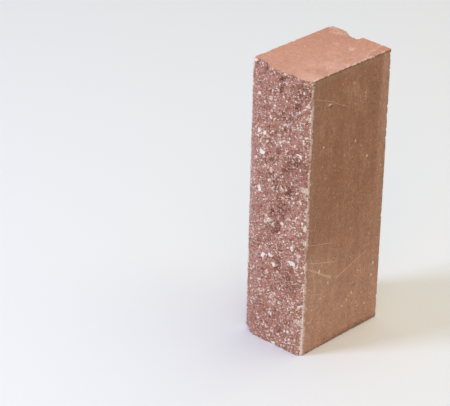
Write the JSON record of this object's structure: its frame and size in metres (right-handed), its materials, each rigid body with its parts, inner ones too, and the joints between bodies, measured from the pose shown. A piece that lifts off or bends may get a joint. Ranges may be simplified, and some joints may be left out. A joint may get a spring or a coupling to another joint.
{
  "type": "hyper-pressed brick",
  "caption": "Solid pressed facing brick with one rough split face, smooth beds, ends and back, and a chipped arris.",
  "frame": {"origin": "middle of the end that the brick stands on, halfway between the smooth back and the arrises of the split face", "axes": "+Z along the length, up from the end that it stands on; +X across the thickness, from bed face to bed face; -Y out of the split face, +Y out of the smooth back"},
  "size_m": [0.065, 0.0988, 0.25],
  "materials": {
    "brick": "matt, smooth pressed skin with one rough split face speckled with pale stone"
  },
  "bodies": {
    "root": {"brick": "brick"}
  },
  "joints": []
}
